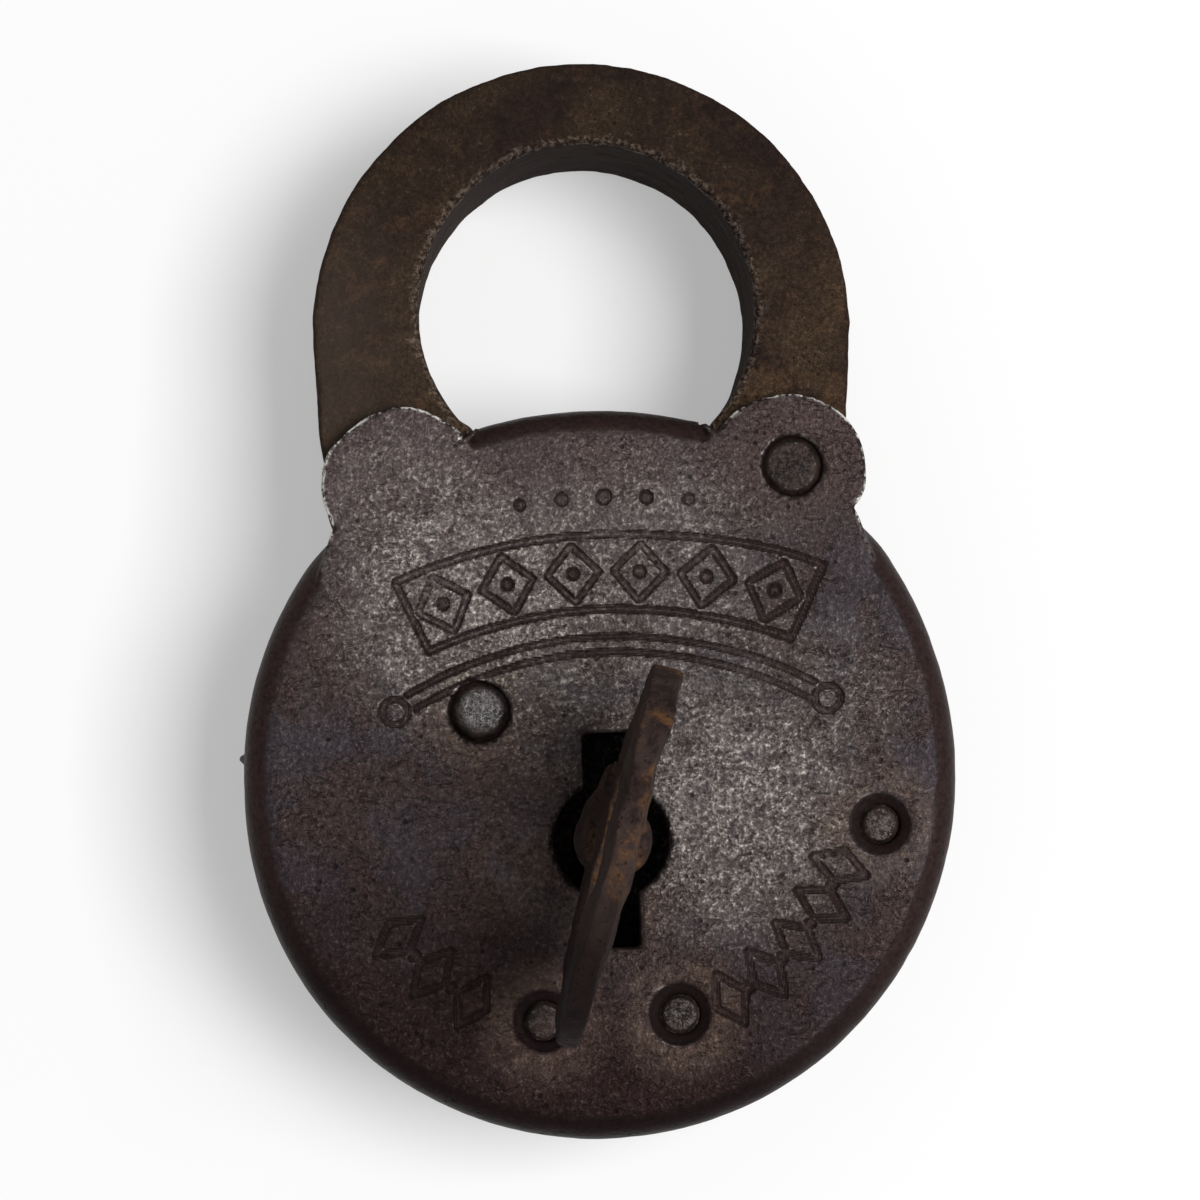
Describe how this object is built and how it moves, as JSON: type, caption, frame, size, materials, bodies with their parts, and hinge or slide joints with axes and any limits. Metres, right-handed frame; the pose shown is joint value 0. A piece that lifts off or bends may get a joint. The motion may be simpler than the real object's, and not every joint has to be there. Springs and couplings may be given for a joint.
{
  "type": "rusty padlock",
  "caption": "Round six-lever padlock of riveted drawn steel shells with ears, a flat swinging shackle and its key left in the keyhole, rusted and worn.",
  "frame": {"origin": "middle of the round body on the flat back face", "axes": "+Y to the shackle, +Z out of the front face where the key goes in, +X to the pivot ear's side"},
  "size_m": [0.0574, 0.0871, 0.0411],
  "materials": {
    "case_steel": "pitted brown-grey patina",
    "shackle_iron": "dark olive-brown rust",
    "rivet_steel": "worn grey with rust around it",
    "key_iron": "orange-brown rust over dark iron",
    "lever_brass": "tarnished",
    "spring_steel": "dull",
    "inner_steel": "dull"
  },
  "bodies": {
    "case": {"front_case": "case_steel", "back_case": "case_steel", "shackle_rivet": "rivet_steel", "lever_post": "rivet_steel", "case_rivet_left": "rivet_steel", "case_rivet_right": "rivet_steel", "case_rivet_side": "rivet_steel", "post_spacer_back": "inner_steel", "post_spacer_front": "inner_steel", "drill_pin": "inner_steel", "kick_spring": "spring_steel"},
    "shackle": {"shackle": "shackle_iron"},
    "key": {"key": "key_iron"},
    "lever_1": {"lever_1": "lever_brass", "lever_spring_1": "spring_steel"},
    "lever_2": {"lever_2": "lever_brass", "lever_spring_2": "spring_steel"},
    "lever_3": {"lever_3": "lever_brass", "lever_spring_3": "spring_steel"},
    "lever_4": {"lever_4": "lever_brass", "lever_spring_4": "spring_steel"},
    "lever_5": {"lever_5": "lever_brass", "lever_spring_5": "spring_steel"},
    "lever_6": {"lever_6": "lever_brass", "lever_spring_6": "spring_steel"}
  },
  "joints": [
    {"name": "shackle_swing", "type": "hinge", "parent": "case", "child": "shackle", "pos_m": [0.01631, 0.02482, 0.00875], "axis": [0, 0, 1], "range_deg": [-80, 0]},
    {"name": "key_turn", "type": "hinge", "parent": "case", "child": "key", "pos_m": [0.0007, -0.0048, 0.00875], "axis": [0, 0, 1], "range_deg": [0, 17]},
    {"name": "lever_1_swing", "type": "hinge", "parent": "case", "child": "lever_1", "pos_m": [-0.00951, 0.00577, 0.00875], "axis": [0, 0, 1], "range_deg": [0, 5.32]},
    {"name": "lever_2_swing", "type": "hinge", "parent": "case", "child": "lever_2", "pos_m": [-0.00951, 0.00577, 0.00875], "axis": [0, 0, 1], "range_deg": [0, 6.03]},
    {"name": "lever_3_swing", "type": "hinge", "parent": "case", "child": "lever_3", "pos_m": [-0.00951, 0.00577, 0.00875], "axis": [0, 0, 1], "range_deg": [0, 5.65]},
    {"name": "lever_4_swing", "type": "hinge", "parent": "case", "child": "lever_4", "pos_m": [-0.00951, 0.00577, 0.00875], "axis": [0, 0, 1], "range_deg": [0, 6.18]},
    {"name": "lever_5_swing", "type": "hinge", "parent": "case", "child": "lever_5", "pos_m": [-0.00951, 0.00577, 0.00875], "axis": [0, 0, 1], "range_deg": [0, 5.23]},
    {"name": "lever_6_swing", "type": "hinge", "parent": "case", "child": "lever_6", "pos_m": [-0.00951, 0.00577, 0.00875], "axis": [0, 0, 1], "range_deg": [0, 5.88]}
  ],
  "couplings": [
    {"joint": "lever_1_swing", "follows": "key_turn", "ratio": 0.3118},
    {"joint": "lever_2_swing", "follows": "key_turn", "ratio": 0.3535},
    {"joint": "lever_3_swing", "follows": "key_turn", "ratio": 0.3312},
    {"joint": "lever_4_swing", "follows": "key_turn", "ratio": 0.3624},
    {"joint": "lever_5_swing", "follows": "key_turn", "ratio": 0.3065},
    {"joint": "lever_6_swing", "follows": "key_turn", "ratio": 0.3447}
  ]
}
